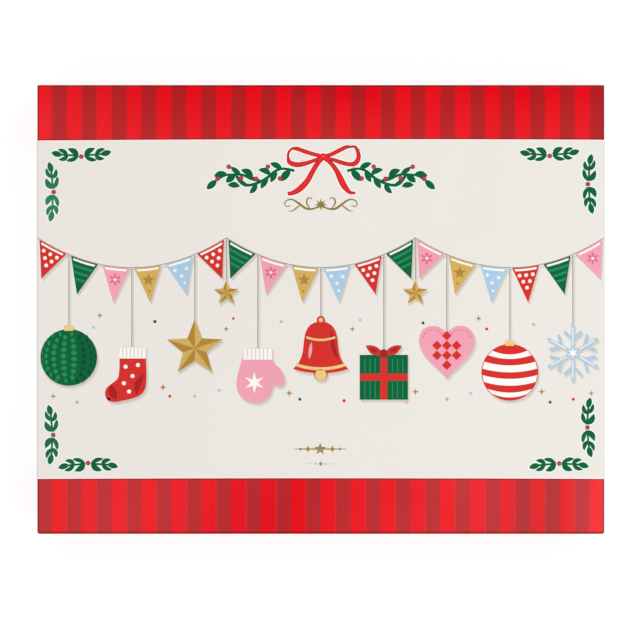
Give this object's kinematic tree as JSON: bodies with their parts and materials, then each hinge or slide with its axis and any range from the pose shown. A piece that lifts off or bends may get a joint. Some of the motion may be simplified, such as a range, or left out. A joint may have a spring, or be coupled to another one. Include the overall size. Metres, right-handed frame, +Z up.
{
  "type": "sleeved gift box",
  "caption": "Flat rectangular gift box with a full-depth lift-off lid in striped paper, held in a printed card sleeve that slides off along it.",
  "frame": {"origin": "middle of the box's footprint, on the sleeve's back panel, which is the lowest face", "axes": "+Z up out of the lid's printed front, +X to the right of the front along the long side, +Y towards the front's upper edge, which is also the way the sleeve slides"},
  "size_m": [0.3802, 0.301, 0.036],
  "materials": {
    "red_wrap": "satin printed wrap paper",
    "dark_stripe_ink": "satin print on the wrap paper",
    "cream_card": "matte uncoated card",
    "leaf_ink": "matte print",
    "ribbon_ink": "matte print",
    "gold_foil": "hot-stamped foil",
    "thread_ink": "matte print",
    "red_ink": "matte print",
    "green_ink": "matte print",
    "pink_ink": "matte print",
    "tan_ink": "matte print",
    "blue_ink": "matte print"
  },
  "bodies": {
    "box": {"base_tray": "red_wrap", "lid": "red_wrap", "dark_stripes": "dark_stripe_ink"},
    "sleeve": {"sleeve": "cream_card", "sprig_top_left_a": "leaf_ink", "sprig_top_left_b": "leaf_ink", "sprig_left_upper_a": "leaf_ink", "sprig_left_upper_b": "leaf_ink", "sprig_top_right_a": "leaf_ink", "sprig_top_right_b": "leaf_ink", "sprig_right_upper_a": "leaf_ink", "sprig_right_upper_b": "leaf_ink", "sprig_left_lower_a": "leaf_ink", "sprig_left_lower_b": "leaf_ink", "sprig_bottom_left_a": "leaf_ink", "sprig_bottom_left_b": "leaf_ink", "sprig_right_lower_a": "leaf_ink", "sprig_right_lower_b": "leaf_ink", "sprig_bottom_right_a": "leaf_ink", "sprig_bottom_right_b": "leaf_ink", "leafy_swag_left": "leaf_ink", "leafy_swag_right": "leaf_ink", "ribbon_bow": "ribbon_ink", "gold_scroll": "gold_foil", "gold_rule": "gold_foil", "garland_thread": "thread_ink", "pennant_1": "red_ink", "pennant_2": "green_ink", "pennant_3": "pink_ink", "pennant_4": "tan_ink", "pennant_5": "blue_ink", "pennant_6": "red_ink", "pennant_7": "green_ink", "pennant_8": "pink_ink", "pennant_9": "tan_ink", "pennant_10": "blue_ink", "pennant_11": "red_ink", "pennant_12": "green_ink", "pennant_13": "pink_ink", "pennant_14": "tan_ink", "pennant_15": "blue_ink", "pennant_16": "red_ink", "pennant_17": "green_ink", "pennant_18": "pink_ink", "green_ball": "green_ink", "red_stocking": "red_ink", "gold_star": "tan_ink", "small_star_left": "tan_ink", "pink_mitten": "pink_ink", "red_bell": "red_ink", "green_parcel": "green_ink", "small_star_right": "tan_ink", "pink_heart": "pink_ink", "red_ball": "red_ink", "blue_snowflake": "blue_ink"}
  },
  "joints": [
    {"name": "sleeve_slide", "type": "slide", "parent": "box", "child": "sleeve", "axis": [0, 1, 0], "range_m": [-0.26, 0.26]}
  ]
}
